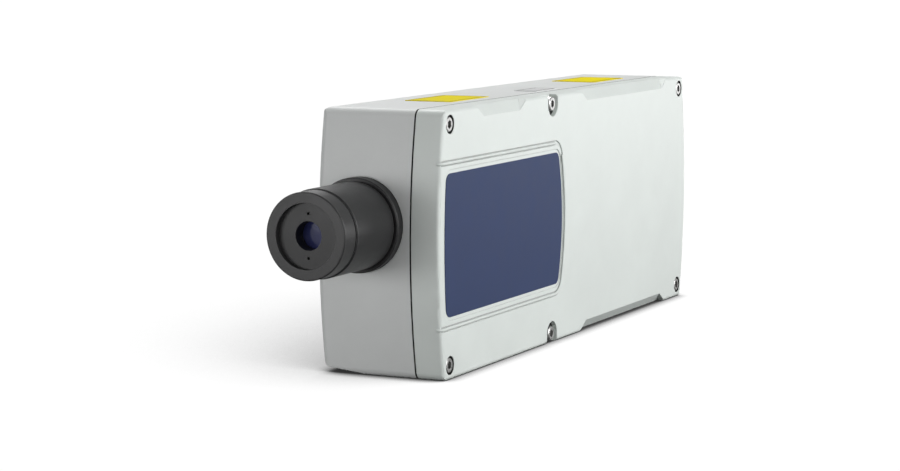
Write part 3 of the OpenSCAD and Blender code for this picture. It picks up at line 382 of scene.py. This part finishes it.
for row in frame["record"]["subparts"]:
    nodes[row["node"]].material_slots[0].material = FINISHES[row["material_slot"]]

# The rear plate has the yellow film too, with its own size for the border
rear_film = FINISHES["plate_yellow"].copy()
for work in rear_film.node_tree.nodes:
    if work.type == "GROUP":
        for key, value in plate_size("top_plate_rear").items():
            work.inputs[key].default_value = value
nodes["top_plate_rear"].material_slots[0].material = rear_film


# Studio: a white floor, faint light from above, and a few wide panels near the object
SKY_ABOVE = 0.100
SKY_RISE = (0.15, 0.9)
SKY_IN_REFLECTIONS = 0.3
SKY_SEEN = 1.0

# Each panel's place, its width and height, and its power
PANELS = {
    "Low side panel": ((1.00, -0.10, 0.14), (0.9, 0.22), 2.20),
    "Side panel": ((0.95, -0.05, 0.42), (0.9, 0.4), 6.80),
    "Rear top panel": ((-0.55, 0.40, 0.95), (0.9, 0.9), 10.60),
    "Front panel": ((-0.25, -1.05, 0.10), (0.9, 0.25), 3.84),
    "Rear side panel": ((0.52, 1.10, 0.12), (0.9, 0.3), 2.00),
}
PANEL_AIM = Vector((0.0, 0.0, 0.07))

# The floor; each painted shadow has its reach, the way it looks for the object, and the light that
# openness gives
FLOOR_WIDTH = 40
FLOOR_ALBEDO = 0.16
WIDE_SHADE = {"reach": 0.45, "towards": (0.62, -0.1, 0.77), "openness": (0.15, 0.84),
              "light": (0.35, 1.02)}
CONTACT_SHADE = {"reach": 0.014, "towards": (0.0, 0.0, 1.0), "openness": (0.25, 0.9),
                 "light": (0.08, 1.0)}

# The camera, solved from the photograph
CAMERA_PLACE = (0.58357, -1.32895, 0.22748)
CAMERA_TURN = math.radians(25.300)
CAMERA_DIP = math.radians(6.7675)
CAMERA_LENS = 100.449


def studio_world():
    """Faint light from above; grey in reflections and white to the camera."""
    world = bpy.data.worlds.new("Studio")
    scene.world = world
    world.use_nodes = True
    tree = world.node_tree
    tree.nodes.clear()
    height = add(tree, "SeparateXYZ", {0: add(tree, "TexCoord").outputs["Generated"]}).outputs["Z"]
    level = remap(tree, height, source=SKY_RISE, target=(0.0, SKY_ABOVE))
    rays = add(tree, "LightPath").outputs
    level = add(tree, "Mix", {0: rays["Is Glossy Ray"], 2: level, 3: SKY_IN_REFLECTIONS}).outputs[0]
    level = add(tree, "Mix", {0: rays["Is Camera Ray"], 2: level, 3: SKY_SEEN}).outputs[0]
    light = add(tree, "Background", {"Strength": level})
    tree.links.new(light.outputs[0], tree.nodes.new("ShaderNodeOutputWorld").inputs[0])


def painted_floor_shadow(tree, reach, towards, openness, light):
    """Painted shadow on the floor's glow: less light where the object is within reach on that side."""
    normal = add(tree, "CombineXYZ", dict(enumerate(towards))).outputs[0]
    seen = add(tree, "AmbientOcclusion", {"Distance": reach, "Normal": normal}, samples=16).outputs["AO"]
    return remap(tree, seen, source=openness, target=light)


def studio_floor():
    """A wide floor, white to the camera, with a painted shadow of the object underneath and on its left.
    """
    bpy.ops.mesh.primitive_plane_add(size=FLOOR_WIDTH)
    floor = bpy.context.object
    floor.name = "Studio floor"
    made = bpy.data.materials.new("Studio floor")
    made.use_nodes = True
    tree = made.node_tree
    tree.nodes.clear()
    wide = painted_floor_shadow(tree, **WIDE_SHADE)
    close = painted_floor_shadow(tree, **CONTACT_SHADE)
    # The camera sees a white glow with the painted shadow in it
    white = add(tree, "Emission", {"Strength": maths(tree, "MULTIPLY", wide, close)}).outputs[0]
    skin = add(tree, "BsdfDiffuse", {"Color": (FLOOR_ALBEDO, FLOOR_ALBEDO, FLOOR_ALBEDO, 1.0)}).outputs[0]
    seen = add(tree, "LightPath").outputs["Is Camera Ray"]
    mixed = add(tree, "MixShader", {0: seen, 1: skin, 2: white}).outputs[0]
    tree.links.new(mixed, tree.nodes.new("ShaderNodeOutputMaterial").inputs[0])
    floor.data.materials.append(made)


def studio_panels():
    """Rectangular lights that face the object and that the camera doesn't see."""
    for name, (place, size, power) in PANELS.items():
        light = bpy.data.lights.new(name, "AREA")
        light.shape = "RECTANGLE"
        light.size, light.size_y = size
        light.energy = power
        lamp = bpy.data.objects.new(name, light)
        scene.collection.objects.link(lamp)
        lamp.location = place
        lamp.rotation_euler = (Vector(place) - PANEL_AIM).to_track_quat("Z", "Y").to_euler()
        lamp.visible_camera = False


def photo_camera():
    """The photograph's view: from the front, turned towards the lid and looking slightly down."""
    lens = bpy.data.cameras.new("Camera")
    lens.sensor_width = 36.0
    lens.lens = CAMERA_LENS
    camera = bpy.data.objects.new("Camera", lens)
    scene.collection.objects.link(camera)
    camera.location = CAMERA_PLACE
    level = math.cos(CAMERA_DIP)
    ahead = Vector((-math.sin(CAMERA_TURN) * level, math.cos(CAMERA_TURN) * level, -math.sin(CAMERA_DIP)))
    camera.rotation_euler = ahead.to_track_quat("-Z", "Y").to_euler()
    scene.camera = camera


studio_world()
studio_floor()
studio_panels()
photo_camera()
scene.view_settings.view_transform = "Standard"
